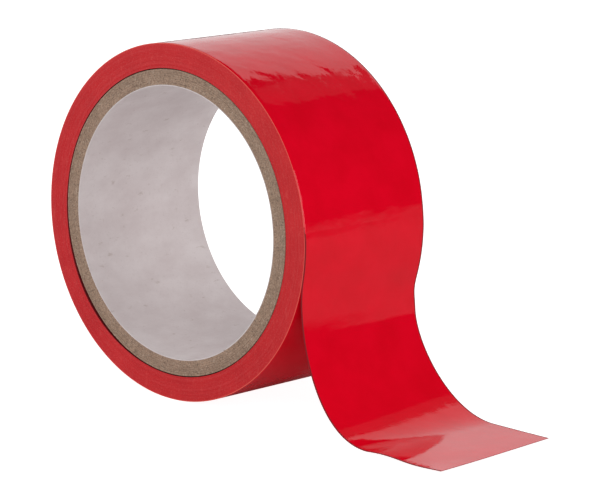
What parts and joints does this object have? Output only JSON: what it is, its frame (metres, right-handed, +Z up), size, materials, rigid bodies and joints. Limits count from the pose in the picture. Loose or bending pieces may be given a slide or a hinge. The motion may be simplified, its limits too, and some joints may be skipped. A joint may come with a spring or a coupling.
{
  "type": "adhesive tape roll",
  "caption": "Roll of wide glossy red film tape on a spiral-wound card core, standing on its rim with a short tail peeled off and laid flat.",
  "frame": {"origin": "on the surface that the roll stands on, directly below the middle of the roll's axis", "axes": "+X towards the cut end of the peeled tail, +Y along the roll's axis towards its back side face, +Z up"},
  "size_m": [0.1485, 0.048, 0.0999],
  "materials": {
    "red_film": "glossy coloured film, adhesive on the side that faces the core",
    "grey_board": "matte, speckled grey-brown chipboard",
    "white_paper": "matte white"
  },
  "bodies": {
    "roll": {"core_liner": "white_paper", "board_ply_1": "grey_board", "board_ply_2": "grey_board", "board_ply_3": "grey_board", "board_ply_4": "grey_board", "board_ply_5": "grey_board", "board_ply_6": "grey_board", "board_ply_7": "grey_board", "tape_pack": "red_film"},
    "tail_root": {"tail_root_film": "red_film"},
    "tail_upper": {"tail_upper_film": "red_film"},
    "tail_lower": {"tail_lower_film": "red_film"}
  },
  "joints": [
    {"name": "unwind", "type": "hinge", "parent": "roll", "child": "tail_root", "pos_m": [0, 0, 0.04995], "axis": [0, -1, 0], "continuous": true},
    {"name": "tail_peel", "type": "hinge", "parent": "tail_root", "child": "tail_upper", "pos_m": [0.04935, 0, 0.03946], "axis": [0, -1, 0], "range_deg": [0, 75]},
    {"name": "tail_curl", "type": "hinge", "parent": "tail_upper", "child": "tail_lower", "pos_m": [0.05654, 0, 0.01099], "axis": [0, -1, 0], "range_deg": [0, 40]}
  ],
  "couplings": [
    {"joint": "tail_curl", "follows": "tail_peel", "ratio": 0.5}
  ]
}
